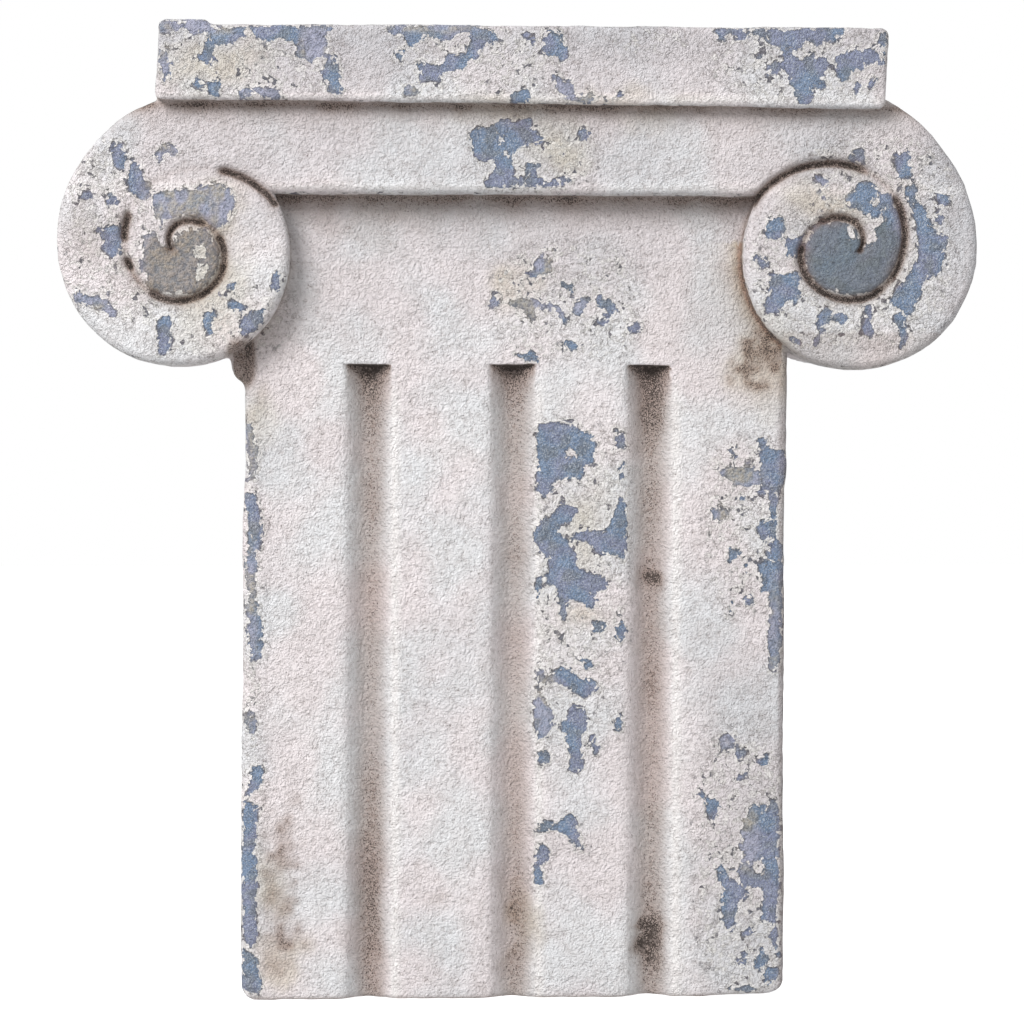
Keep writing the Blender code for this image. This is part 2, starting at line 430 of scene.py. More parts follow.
def hand_finish(points, normals):
    """Carries the skin in and out by the unevenness of a hand-finished casting: broad sags, trowelled
    lumps and coarse sand, less of each on the plain back."""
    front = 1 - 0.75 * ramp(points[:, 1], -20.0, 10.0)
    swell = sum(height * lump_noise(points, size, seed) for seed, (size, height) in enumerate(SWELLS, 1))
    moved = points + normals * (swell * front)[:, None]
    moved[:, 2] = np.maximum(moved[:, 2], 0.0)
    moved[:, 1] = np.minimum(moved[:, 1], BACK)
    return moved


# Wear, grime, painted shade and painted highlights, where they are seen

# Patches where the top coat is gone and older blue paint shows. Each is an outline of corners, as
# across, down, across, down
SLAB_PATCHES = (
    (160, 24, 168, 21, 205, 20, 212, 27, 210, 31, 192, 32, 190, 28, 178, 27, 172, 32, 162, 31),
    (160, 48, 168, 50, 171, 62, 171, 76, 166, 80, 162, 70, 159, 56),
    (210, 32, 224, 31, 252, 28, 250, 34, 236, 40, 222, 43, 214, 46, 212, 54, 216, 62, 210, 66, 203, 63,
     200, 56, 207, 48),
    (252, 28, 262, 27, 303, 27, 303, 39, 284, 38, 272, 40, 258, 37),
    (303, 27, 330, 26, 335, 30, 318, 32, 327, 40, 326, 55, 316, 58, 320, 63, 306, 63, 299, 57, 298, 48,
     304, 44),
    (327, 57, 337, 57, 337, 66, 340, 74, 343, 90, 337, 94, 328, 90, 326, 80, 321, 70, 328, 66),
    (240, 90, 256, 89, 262, 91, 275, 91, 280, 97, 266, 97, 256, 95, 248, 97, 240, 95),
    (196, 78, 203, 82, 200, 87, 195, 84), (209, 84, 216, 82, 222, 86, 219, 95, 212, 96),
    (388, 26, 478, 26, 480, 33, 462, 33, 448, 40, 436, 38, 428, 34, 420, 40, 414, 48, 409, 46, 406, 36,
     398, 31, 390, 33),
    (470, 36, 480, 31, 497, 31, 495, 38, 482, 48, 477, 59, 470, 58, 462, 71, 452, 70, 440, 74, 438, 79,
     422, 79, 417, 64, 421, 61, 428, 65, 434, 66, 446, 60, 450, 55, 458, 57, 464, 56, 466, 48, 470, 44),
    (395, 50, 402, 50, 406, 56, 404, 60, 398, 59, 394, 54),
    (400, 92, 404, 86, 412, 86, 422, 91, 415, 93, 408, 94),
    (544, 33, 556, 31, 562, 36, 565, 46, 567, 56, 562, 58, 552, 55, 545, 50),
    (525, 33, 530, 34, 535, 42, 532, 47, 528, 42),
    (511, 94, 518, 92, 524, 88, 528, 92, 528, 102, 512, 102),
    (612, 100, 616, 94, 622, 90, 622, 93, 616, 98),
    (550, 75, 558, 76, 563, 80, 572, 80, 573, 92, 580, 96, 588, 97, 590, 94, 598, 99, 594, 102, 578,
     102, 566, 99, 561, 94, 556, 85),
    (716, 30, 848, 29, 842, 36, 832, 40, 822, 39, 816, 46, 812, 40, 802, 40, 800, 48, 794, 49, 788, 47,
     774, 47, 768, 42, 762, 38, 756, 33, 746, 33, 745, 38, 741, 43, 737, 39, 736, 34, 729, 34, 726, 38,
     721, 40, 717, 36),
    (768, 66, 776, 63, 786, 64, 784, 56, 783, 51, 790, 52, 800, 60, 808, 55, 812, 52, 816, 58, 826, 58,
     826, 66, 822, 74, 824, 86, 820, 88, 812, 83, 809, 90, 812, 96, 809, 104, 803, 104, 799, 98, 793,
     93, 790, 80, 786, 72, 778, 70, 774, 74, 768, 74),
    (842, 54, 850, 50, 856, 53, 866, 48, 876, 47, 880, 54, 884, 64, 868, 66, 864, 70, 850, 68, 848, 80,
     842, 80, 836, 66, 836, 58),
    (856, 82, 862, 82, 860, 88, 863, 94, 857, 94), (868, 84, 874, 78, 878, 80, 872, 87),
    (886, 32, 880, 36, 880, 44, 886, 52), (754, 57, 758, 52, 763, 54, 759, 60, 757, 63),
)
BAND_PATCHES = (
    (472, 132, 480, 128, 497, 128, 497, 121, 504, 120, 512, 123, 530, 121, 530, 128, 544, 140, 540, 144,
     530, 142, 518, 147, 511, 156, 512, 176, 520, 181, 528, 180, 528, 164, 538, 163, 536, 176, 552, 183,
     562, 177, 569, 177, 570, 181, 554, 186, 528, 187, 488, 187, 487, 182, 493, 178, 496, 170, 494, 160,
     481, 157, 475, 152, 471, 138),
    (580, 131, 584, 129, 589, 133, 588, 139, 583, 140),
)
LEFT_SCROLL_PATCHES = (
    (112, 145, 118, 142, 123, 150, 124, 162, 120, 168, 114, 165, 111, 156),
    (106, 204, 108, 195, 112, 191, 117, 205),
    (128, 163, 133, 160, 139, 163, 140, 172, 143, 186, 149, 187, 141, 198, 131, 190, 127, 170),
    (80, 196, 90, 194, 91, 200), (153, 155, 158, 149, 177, 144, 177, 152, 165, 153, 160, 158),
    (227, 305, 232, 302, 238, 303, 241, 308, 234, 311),
    (97, 226, 104, 230, 112, 227, 120, 227, 122, 236, 119, 256, 112, 256, 102, 248, 104, 240),
    (74, 288, 79, 289, 80, 295, 92, 297, 104, 302, 117, 314, 114, 317, 98, 307, 84, 304, 75, 300),
    (158, 321, 163, 313, 170, 316, 172, 326, 171, 338, 166, 352, 161, 355, 157, 348, 160, 336),
    (206, 314, 212, 312, 216, 316, 211, 334, 204, 320),
    (272, 276, 276, 272, 280, 275, 280, 286, 275, 291, 271, 286),
    (244, 313, 254, 313, 264, 309, 266, 313, 256, 328, 243, 335, 240, 328),
    (226, 286, 230, 280, 234, 284, 232, 290),
    (152, 195, 165, 192, 206, 188, 210, 184, 222, 183, 232, 200, 230, 212, 218, 230, 204, 220, 186, 214,
     163, 222, 153, 204),
    (144, 236, 152, 232, 158, 240, 168, 242, 178, 234, 190, 230, 204, 230, 212, 238, 217, 252, 218, 264,
     212, 276, 204, 286, 192, 292, 166, 292, 156, 290, 148, 280, 143, 268, 145, 254),
)
RIGHT_SCROLL_PATCHES = (
    (768, 219, 776, 217, 783, 221, 784, 238, 768, 239),
    (752, 257, 758, 255, 766, 259, 765, 266, 757, 267),
    (786, 240, 797, 239, 804, 236, 803, 250, 796, 256, 788, 254),
    (817, 315, 828, 308, 832, 311, 829, 322, 824, 329, 818, 326),
    (768, 274, 798, 274, 800, 298, 795, 302, 790, 296, 780, 310, 768, 311, 765, 307, 772, 290),
    (812, 226, 822, 222, 836, 220, 848, 224, 856, 232, 862, 246, 878, 244, 876, 230, 888, 218, 884, 210,
     888, 204, 896, 206, 902, 214, 903, 240, 898, 256, 886, 280, 876, 288, 862, 293, 846, 295, 830, 290,
     818, 282, 809, 272, 804, 258, 806, 244),
    (848, 196, 856, 192, 858, 184, 872, 184, 880, 194, 888, 192, 896, 198, 900, 208, 888, 204, 876, 218,
     858, 208, 850, 206),
    (850, 156, 858, 152, 863, 155, 864, 163, 852, 162),
    (897, 155, 902, 151, 908, 152, 911, 160, 910, 176, 900, 177),
    (906, 188, 912, 184, 916, 188, 916, 198, 926, 214, 930, 224, 946, 238, 944, 256, 940, 270, 924, 282,
     916, 300, 912, 310, 906, 314, 898, 308, 892, 300, 900, 288, 912, 268, 920, 256, 918, 236, 920, 226,
     910, 204),
    (937, 196, 942, 193, 950, 196, 949, 203, 942, 206),
    (936, 214, 941, 212, 944, 218, 941, 224, 937, 220),
    (832, 313, 840, 311, 848, 312, 846, 322, 842, 326),
    (862, 325, 868, 320, 876, 334, 870, 338, 864, 334), (896, 315, 906, 315, 902, 330, 898, 326),
    (900, 334, 908, 330, 906, 342, 901, 346), (866, 308, 872, 307, 870, 318),
    (812, 340, 820, 336, 824, 331, 819, 342, 814, 345), (792, 336, 800, 338, 799, 345, 794, 343),
    (818, 176, 832, 180, 824, 184),
)
SHAFT_PATCHES = (
    (536, 258, 541, 256, 545, 262, 550, 263, 552, 270, 541, 275, 530, 276, 529, 273, 537, 270),
    (543, 249, 550, 246, 557, 249), (560, 286, 563, 283, 568, 286, 575, 282, 576, 292, 570, 294),
    (572, 308, 580, 297, 590, 299, 584, 308, 578, 314, 573, 312),
    (590, 298, 600, 299, 603, 295, 612, 303, 615, 308, 614, 316, 608, 320, 604, 318, 606, 312, 598,
     303),
    (511, 300, 518, 298, 543, 303, 538, 310, 533, 320, 527, 310, 512, 307),
    (490, 300, 494, 295, 498, 300, 497, 305, 490, 305),
    (547, 306, 556, 304, 561, 310, 562, 321, 556, 312, 549, 310),
    (598, 322, 604, 320, 607, 322, 602, 327), (627, 326, 641, 323, 640, 330, 632, 332),
    (563, 341, 576, 341, 577, 348, 570, 350), (520, 354, 530, 352, 537, 355, 536, 362, 526, 361),
    (537, 425, 546, 424, 560, 423, 574, 425, 577, 430, 588, 431, 592, 434, 592, 460, 590, 463, 584, 464,
     580, 479, 568, 476, 556, 478, 551, 494, 545, 496, 538, 492, 537, 482, 539, 470, 537, 462),
    (556, 512, 560, 506, 566, 503, 574, 508, 576, 512, 566, 522, 552, 519),
    (614, 434, 618, 430, 624, 436, 624, 446, 620, 450),
    (538, 524, 546, 520, 556, 522, 560, 532, 570, 548, 576, 556, 576, 568, 592, 576, 606, 575, 608, 590,
     590, 592, 596, 600, 592, 607, 578, 598, 570, 600, 562, 619, 559, 614, 560, 604, 556, 588, 545, 580,
     552, 568, 550, 558, 540, 552, 535, 540),
    (574, 530, 606, 531, 612, 518, 618, 500, 622, 496, 626, 520, 624, 558, 616, 556, 600, 552, 584, 540,
     575, 538),
    (536, 578, 540, 576, 540, 590, 537, 597), (620, 466, 624, 464, 624, 476, 621, 480),
    (592, 624, 600, 622, 606, 625, 604, 631, 596, 632),
    (616, 626, 622, 622, 626, 628, 626, 636, 620, 640),
    (536, 672, 539, 668, 542, 672, 541, 686, 537, 690),
    (543, 680, 552, 674, 568, 667, 574, 672, 578, 680, 592, 681, 600, 688, 590, 690, 588, 696, 566, 688,
     560, 682, 552, 682, 546, 687),
    (536, 700, 541, 697, 546, 700, 552, 712, 550, 732, 545, 738, 538, 738, 535, 714),
    (538, 754, 544, 750, 550, 754, 549, 762, 540, 763),
    (562, 722, 570, 718, 571, 708, 584, 708, 586, 720, 580, 742, 582, 756, 583, 768, 576, 772, 571, 768,
     572, 756, 565, 738),
    (590, 736, 598, 738, 600, 746, 594, 752), (614, 722, 620, 713, 622, 724, 618, 730),
    (582, 658, 590, 657, 590, 666, 584, 668),
    (537, 830, 539, 824, 556, 822, 570, 815, 574, 818, 576, 830, 584, 849, 579, 850, 568, 836, 552,
     830),
    (538, 848, 543, 846, 549, 849, 548, 861, 541, 862, 540, 872, 543, 883, 537, 886, 535, 878),
)
RIGHT_EDGE_PATCHES = (
    (752, 444, 764, 438, 768, 448, 778, 450, 785, 452, 786, 470, 782, 484, 777, 493, 777, 512, 779, 545,
     774, 545, 772, 530, 770, 512, 772, 493, 760, 493, 762, 484, 760, 470, 763, 460, 759, 450),
    (719, 474, 726, 468, 752, 468, 758, 476, 758, 484, 748, 486, 732, 482),
    (730, 452, 738, 448, 740, 456, 734, 462), (714, 508, 720, 510, 730, 510, 727, 520, 715, 523),
    (757, 528, 764, 520, 770, 522, 772, 530, 764, 543),
    (768, 546, 776, 544, 784, 548, 784, 562, 767, 557),
    (760, 564, 768, 562, 784, 562, 784, 584, 780, 592, 758, 591, 763, 582),
    (728, 549, 740, 549, 738, 556, 730, 560), (742, 597, 750, 595, 754, 602, 748, 606),
    (728, 612, 734, 598, 735, 604, 731, 614),
    (770, 592, 781, 592, 781, 640, 777, 668, 771, 668, 770, 620), (738, 496, 744, 494, 745, 502),
    (744, 562, 748, 564, 747, 574), (720, 740, 726, 736, 736, 735, 732, 744, 724, 749),
    (737, 748, 743, 749, 742, 760, 737, 758), (756, 764, 768, 755, 768, 766),
    (735, 780, 744, 771, 750, 768, 744, 776), (706, 802, 712, 798, 718, 804, 717, 814, 713, 820),
    (694, 796, 700, 792, 703, 800),
    (752, 802, 764, 806, 763, 814, 768, 815, 770, 802, 777, 802, 779, 830, 778, 890, 776, 915, 770, 926,
     764, 918, 764, 894, 760, 884, 748, 886, 740, 882, 738, 870, 744, 858, 743, 832, 746, 824),
    (718, 870, 722, 864, 728, 880, 750, 892, 748, 898, 736, 900, 736, 922, 732, 930, 726, 928, 721, 906,
     723, 890),
    (744, 934, 752, 926, 754, 932), (754, 966, 756, 956, 762, 946, 767, 950, 768, 960, 760, 968),
    (736, 962, 748, 950, 746, 968), (764, 972, 770, 968, 777, 970, 776, 980, 768, 988),
    (730, 988, 748, 984, 756, 988, 746, 992), (770, 930, 775, 932, 778, 956),
)
LEFT_EDGE_PATCHES = (
    (247, 424, 252, 424, 255, 440, 256, 460, 254, 476, 249, 480),
    (248, 494, 254, 494, 258, 512, 262, 530, 260, 540, 249, 542),
    (248, 543, 256, 544, 257, 566, 254, 572, 254, 596, 258, 606, 261, 640, 264, 645, 262, 655, 252, 659,
     248, 640),
    (246, 716, 252, 714, 254, 730, 248, 734),
    (252, 770, 256, 761, 262, 772, 262, 782, 256, 790, 249, 796, 249, 782),
    (244, 800, 256, 806, 256, 880, 255, 944, 246, 946, 242, 900),
    (242, 952, 256, 955, 258, 970, 262, 985, 256, 995, 243, 990),
)
PATCHES = (SLAB_PATCHES + BAND_PATCHES + LEFT_SCROLL_PATCHES + RIGHT_SCROLL_PATCHES + SHAFT_PATCHES
           + RIGHT_EDGE_PATCHES + LEFT_EDGE_PATCHES)
EYE_PATCHES = ((143, 227, 225, 297), (808, 218, 902, 298))

# Islands of top coat left inside the patches, and places where small flakes are common
KEPT_ISLANDS = (
    (562, 450, 566, 446, 575, 448, 576, 459, 565, 459), (555, 528, 562, 525, 566, 532, 561, 539),
    (497, 136, 503, 136, 503, 145, 499, 146), (502, 150, 508, 148, 508, 157, 503, 158),
    (192, 246, 205, 243, 206, 258, 196, 262), (750, 860, 764, 858, 764, 874, 752, 876),
    (844, 228, 854, 226, 858, 238, 848, 240), (248, 944, 256, 944, 256, 954, 246, 952),
    (198, 264, 212, 262, 206, 280, 196, 280), (868, 196, 878, 198, 882, 208, 870, 206),
    (738, 906, 746, 904, 746, 914, 738, 914), (160, 240, 172, 238, 174, 246, 160, 248),
)
FLAKING_PLACES = (
    (155, 16, 345, 100), (395, 25, 580, 100), (700, 22, 890, 104), (60, 130, 150, 330),
    (140, 280, 300, 360), (745, 200, 960, 350), (490, 240, 645, 365), (532, 420, 630, 720),
    (700, 430, 790, 620), (690, 720, 790, 995), (236, 420, 266, 1000), (480, 118, 600, 190),
    (600, 26, 700, 60), (110, 270, 240, 335), (800, 130, 960, 220),
)

# Chip marks of sound coat and of surfaces that the picture doesn't show, and how far edges wander
SOUND = -12.0
UNSEEN = -11.0
WANDER = 1.6

# Dark dirt, specks, wash and ochre stains that aren't in a hollow, each place as left, top, right, bottom
DIRTY_PLACES = (
    (62, 214, 96, 252), (637, 900, 668, 968), (426, 884, 456, 901), (260, 870, 292, 950),
    (300, 205, 420, 240), (638, 556, 658, 584), (505, 885, 535, 985), (348, 800, 384, 985),
    (246, 380, 262, 430), (640, 390, 662, 440),
)
SPECKLED_PLACES = ((736, 330, 790, 400), (640, 908, 664, 962), (640, 560, 656, 580), (264, 798, 300, 968))
# Where the mortar lump shows: painted dark, as the shade it sits in under the left scroll, with grime
SHADED_MORTAR_SEEN = ((226, 338, 256, 388),)
WASHED_PLACES = (
    (138, 222, 230, 302), (140, 176, 234, 230), (70, 286, 118, 320), (150, 140, 182, 162),
    (300, 26, 330, 60), (545, 78, 598, 104), (530, 242, 564, 276), (488, 294, 562, 322),
    (716, 462, 762, 488), (736, 812, 760, 870), (800, 180, 850, 215), (160, 16, 240, 34),
    (230, 86, 280, 100), (534, 668, 556, 738), (400, 76, 424, 96), (244, 424, 258, 482),
    (246, 543, 257, 660), (158, 44, 172, 82), (388, 22, 480, 32), (712, 504, 732, 526),
    (718, 734, 738, 750), (768, 594, 778, 670), (571, 296, 590, 315), (244, 714, 256, 736),
)
STAINED_PLACES = (
    (732, 320, 792, 410), (254, 868, 284, 904), (264, 944, 300, 984), (484, 102, 572, 120),
    (508, 900, 532, 942), (496, 256, 532, 298), (572, 498, 606, 564), (556, 598, 594, 624),
    (570, 100, 672, 114), (176, 38, 250, 84), (524, 128, 580, 176), (180, 190, 240, 330),
    (790, 178, 850, 222), (246, 396, 272, 448),
)


def inside_patches(across, down, patches):
    """How far inside the nearest rounded patch each seen place is, in pixels, and less than zero outside."""
    best = np.full(len(across), -FAR_SEEN)
    for left, top, right, bottom in patches:
        half_wide = (right - left) / 2
        half_high = (bottom - top) / 2
        u = np.abs(across - left - half_wide) / half_wide
        v = np.abs(down - top - half_high) / half_high
        best = np.maximum(best, (1 - (u**3 + v**3) ** (1 / 3)) * min(half_wide, half_high))
    return best


def inside_outlines(across, down, outlines):
    """How far inside the nearest outline each seen place is, in pixels, and less than zero outside: the
    distance to the closest side, inside where a line to the right crosses an odd number of sides."""
    best = np.full(len(across), -FAR_SEEN)
    for outline in outlines:
        corners = np.array(outline, float).reshape(-1, 2)
        (left, top), (right, bottom) = corners.min(0) - 14.0, corners.max(0) + 14.0
        near = np.flatnonzero((across > left) & (across < right) & (down > top) & (down < bottom))
        x, y = across[near, None], down[near, None]
        ax, ay = corners.T
        bx, by = np.roll(corners, -1, 0).T
        length_squared = (bx - ax) ** 2 + (by - ay) ** 2
        along = np.clip(((x - ax) * (bx - ax) + (y - ay) * (by - ay)) / length_squared, 0.0, 1.0)
        gap = np.hypot(x - ax - along * (bx - ax), y - ay - along * (by - ay)).min(1)
        rise = np.where(by == ay, 1e-6, by - ay)
        crossed = ((ay > y) != (by > y)) & (x < ax + (y - ay) * (bx - ax) / rise)
        best[near] = np.maximum(best[near], np.where(crossed.sum(1) % 2 == 1, gap, -gap))
    return best


def soft_places(across, down, places, blur):
    """1 in the middle of each place and 0 outside it, with a fade this many pixels wide."""
    return ramp(inside_patches(across, down, places), -blur / 2, blur / 2)


def near_front(points):
    """1 on the front faces of slab, head and shaft, and a ragged fade to 0 on the surfaces behind them."""
    x, y, z = points.T
    on_head = (z > BAND_FROM) | (np.abs(x) > SCROLLS_FROM)
    face = np.where(z > SLAB_FROM, SLAB_FRONT, np.where(on_head, HEAD_FRONT, SHAFT_FRONT))
    return 1 - ramp(y - face + 7.0 * lump_noise(points, 12.0, 24), 10.0, 28.0)


def wear_marks(points, normals):
    """Paints where the top coat is gone (chip, in pixels inside an edge), the scrolls' darker eyes, and
    where a thin wash of the coat still covers the older paint. Sound coat has a low chip mark, coat where
    small flakes are common or that turns away from the front a higher one, still below zero."""
    across, down = picture_place(points)
    seen = near_front(points)
    wander_x = WANDER * lump_noise(points, 6.0, 11) + WANDER * lump_noise(points, 3.0, 12)
    wander_z = WANDER * lump_noise(points, 6.0, 13) + WANDER * lump_noise(points, 3.0, 14)
    ragged = (across + wander_x, down + wander_z)
    chip = inside_outlines(*ragged, PATCHES)
    chip = np.minimum(chip, -inside_outlines(*ragged, KEPT_ISLANDS))
    flaking = soft_places(*ragged, FLAKING_PLACES, 24.0)
    chip = np.maximum(np.maximum(chip, SOUND), SOUND + 8.0 * flaking)
    chip = UNSEEN + (chip - UNSEEN) * seen
    turned_away = ramp(normals[:, 1], -0.7, -0.35)
    turned_away = turned_away * (1 - ramp(points[:, 1] + 16.0 * lump_noise(points, 20.0, 25), -45.0, 25.0))
    chip = np.maximum(chip, SOUND + 8.5 * turned_away)
    eye = seen * soft_places(across, down, EYE_PATCHES, 6.0)
    wash = seen * soft_places(*ragged, WASHED_PLACES, 8.0)
    return {"chip": chip, "eye": eye, "wash": wash}


def on_shaft(points):
    """Whether each point is on the front half of the shaft."""
    x, y, _ = points.T
    return (y > -46.0) & (y < 0.0) & (np.abs(x) < 131.0)


def ledge_dirt_and_shade(points):
    """Dark under the slab and under the band: soot, and painted shade under their overhang. It falls by two
    thirds every few millimetres, and is lumpy.
    """
    _, y, z = points.T
    under_slab = np.where((y > -61.0) & (y < -45.0), SLAB_FROM - z, FAR)
    under_band = np.where(on_shaft(points), 391.0 - z, FAR)
    # Painted shade right under each ledge's overhang, with soot
    dirt_and_shade = 0.96 * np.exp(-np.abs(under_slab) / 4.8) + 0.96 * np.exp(-np.abs(under_band) / 6.5)
    return dirt_and_shade * (1 + 0.34 * lump_noise(points, 9.0, 22))


def scroll_dirt_and_shade(points):
    """Soot in and beside the scrolls' grooves, with painted shade in their depth, and painted shade with soot
    on the shaft beside the scrolls' rims, where the scrolls stand out over it, less at the left.
    """
    x, y, z = points.T
    # In and beside each groove: soot, and painted shade in the groove's depth
    carved = near_groove(x, z, 2.1) * (1.35 + 0.35 * lump_noise(points, 5.0, 20))
    beside_groove = near_groove(x, z, 4.4) * (0.42 + 0.3 * lump_noise(points, 7.0, 23))
    dirt_and_shade = np.where(y < -45.0, np.maximum(carved, beside_groove), 0.0)
    for scroll in SCROLLS:
        beside = np.where(on_shaft(points), np.maximum(scroll.rim(x, z), 0.0), FAR)
        # Painted shade that each scroll's rim throws on the shaft beside it, with soot
        dirt_and_shade_near_disc = 0.75 * np.exp(-beside / 2.5) + 0.3 * np.exp(-beside / 22.0) * (z < 360.0)
        dirt_and_shade = np.maximum(dirt_and_shade, dirt_and_shade_near_disc * np.where(x < 0.0, 0.55, 1.0))
    return dirt_and_shade


def flute_dirt_and_shade(points):
    """Soot along each flute's hollow, a little to the right of its middle; and over the whole width of its
    top a painted shadow under the flute's square end, with soot, in a quick and a slow fall down from there."""
    x, y, z = points.T
    dirt_and_shade = np.zeros(len(points))
    for flute, soot in zip(FLUTES, FLUTE_SOOT):
        hollow = np.maximum(1 - ((x - flute - 2.2) / 10.2) ** 2, 0.0) * (z < FLUTE_TOP)
        corner = ramp(FLUTE_HALF_WIDTH + 1.0 - np.abs(x - flute - 0.8), 0.0, 2.6) * (z < FLUTE_TOP + 1.5)
        below = np.abs(FLUTE_TOP - z)
        shade = soot + 0.1 * lump_noise(points, 22.0, 19)
        # Painted shadow under the flute's square top end, with soot, fading down quickly and then slowly
        top = 0.5 * np.exp(-below / 9.0) + 0.6 * np.exp(-below / 1.6) + 0.22 * np.exp(-below / 40.0)
        sooty_and_shaded = shade * hollow**1.4 + top * corner
        dirt_and_shade = np.maximum(dirt_and_shade, np.where((y > -38.6) & (y < 0.0), sooty_and_shaded, 0.0))
    return dirt_and_shade


def right_arris_shade(points):
    """1 on the shaft's right-hand arris, below the scroll, and 0 elsewhere: the arris turns away from the
    light and is painted darker there as shade.
    """
    x, _, z = points.T
    return ramp(x, 128.5, 131.0) * (z < 325.0) * near_front(points)


def dirt_and_shade_marks(points):
    """Paints grime and painted shade as one mark: soot with painted shade under the ledges, in the grooves,
    beside the scrolls and at the flutes' tops, a painted contact shade along the foot's edge, painted shade
    on the mortar lump and the turned-away right arris, the grime of the places where it is seen, and the
    ochre stains with painted shade beside the right scroll's rim."""
    x, y, z = points.T
    seen = near_front(points)
    across, down = picture_place(points)
    mortar = soft_places(across, down, SHADED_MORTAR_SEEN, 8.0)
    across = across + 16.0 * lump_noise(points, 14.0, 15) + 7.0 * lump_noise(points, 7.0, 17)
    down = down + 16.0 * lump_noise(points, 14.0, 16) + 7.0 * lump_noise(points, 7.0, 18)
    # A thin dark line along the foot's bottom edge: painted contact shade where it meets the floor, with
    # grime
    foot = 0.9 * np.exp(-np.maximum(z, 0.0) / 0.9)
    dirt_and_shade = np.maximum.reduce([ledge_dirt_and_shade(points), scroll_dirt_and_shade(points), flute_dirt_and_shade(points), foot])
    dirt_and_shade = dirt_and_shade + 0.22 * seen * soft_places(across, down, DIRTY_PLACES, 22.0)
    clusters = np.maximum(1 + 1.7 * lump_noise(points, 4.4, 26), 0.0)
    dirt_and_shade = dirt_and_shade + 0.36 * clusters * seen * soft_places(across, down, SPECKLED_PLACES, 14.0)
    # Painted shade on the right arris, which turns away from the light
    dirt_and_shade = np.maximum(dirt_and_shade, 0.3 * right_arris_shade(points))
    # The mortar lump: painted shade of its corner under the scroll, with grime
    dirt_and_shade = dirt_and_shade + 0.85 * seen * mortar
    # Painted shade, orange-brown, on the shaft beside the right scroll's rim, carried with the ochre stains
    shade_beside_right = np.where(on_shaft(points) & (z < 370.0), np.maximum(RIGHT_SCROLL.rim(x, z), 0.0), FAR)
    stain_and_shade = 0.7 * seen * soft_places(across, down, STAINED_PLACES, 30.0)
    stain_and_shade = np.maximum(stain_and_shade, 1.5 * np.exp(-shade_beside_right / 5.0))
    return {"dirt_and_shade": np.maximum(dirt_and_shade, 0.12 * (y > 0.0)), "stain_and_shade": stain_and_shade}


def film_and_light_marks(points):
    """Paints a thin grey layer that dulls the top coat over the whole slab and in random patches, with
    painted shade that adds to it higher up and towards the right, away from the light; and less than none, so
    a brighter coat, along the lower edges of slab and band, rubbed and with a painted highlight, and as a
    painted highlight on the flutes' right lips."""
    x, y, z = points.T
    seen = near_front(points)
    # Slab: grey all over, painted shade growing towards its top, and a painted highlight, with rubbing, along
    # its lower edge
    slab_film_and_light = 0.37 + 0.28 * ramp(z, 445.0, 468.0) - 1.0 * seen * np.exp(-np.abs(z - 436.8) / 1.8)
    # Head: painted shade growing towards the top and towards the right scroll's outer side, away from the
    # light, and a painted highlight, with rubbing, along the band's lower edge
    head_film_and_light = 0.35 * ramp(z, 340.0, 400.0) + 0.45 * ramp(x, 185.0, 222.0)
    head_film_and_light = head_film_and_light - 0.8 * seen * np.exp(-np.abs(z - 394.5) / 2.2)
    # Shaft: painted shade growing towards the top and at the lower right
    shaft_film_and_light = 0.34 * ramp(z, 310.0, 385.0) + 0.35 * ramp(x, 78.0, 100.0) * ramp(200.0 - z, 0.0, 60.0)
    # Painted shade on the right arris, greyer as well as darker
    shaft_film_and_light = shaft_film_and_light + 0.7 * right_arris_shade(points)
    # A painted highlight, a brighter coat, on each flute's right lip, which faces the light
    for flute in FLUTES:
        lip = (x - flute - 1.2 * FLUTE_HALF_WIDTH) / 2.4
        shaft_film_and_light = shaft_film_and_light - 1.1 * seen * np.exp(-(lip**2)) * ramp(FLUTE_TOP - z, 0.0, 20.0)
    head = (z > BAND_FROM) | (np.abs(x) > SCROLLS_FROM) | (y < -47.0)
    film_and_painted_light = np.where(z > SLAB_FROM, slab_film_and_light, np.where(head, head_film_and_light, shaft_film_and_light))
    return {"film_and_painted_light": film_and_painted_light + 0.2 * lump_noise(points, 30.0, 21)}


def build_casting():
    """The finished casting: its skin, uneven as by hand, thinned to fewer faces, with its marks painted."""
    points, quads = casting_mesh()
    mesh = new_mesh("rough_casting", points, quads)
    write_points(mesh, hand_finish(points, read_normals(mesh)) * MM)
    rough = bpy.data.objects.new("rough_casting", mesh)
    bpy.context.scene.collection.objects.link(rough)
    thin = rough.modifiers.new("fewer faces", "DECIMATE")
    thin.ratio = min(1.0, MOST_TRIANGLES / (2 * len(quads)))
    bpy.context.view_layer.update()
    finished = bpy.data.meshes.new_from_object(rough.evaluated_get(bpy.context.evaluated_depsgraph_get()))
    bpy.data.objects.remove(rough, do_unlink=True)
    finished.name = "plaster_casting"
    finished.shade_smooth()
    points = read_points(finished) / MM
    marks = {**wear_marks(points, read_normals(finished)), **dirt_and_shade_marks(points), **film_and_light_marks(points)}
    for name, values in marks.items():
        paint(finished, name, values)
    casting = bpy.data.objects.new("plaster_casting", finished)
    bpy.context.scene.collection.objects.link(casting)
    return casting


# Camera, floor and light


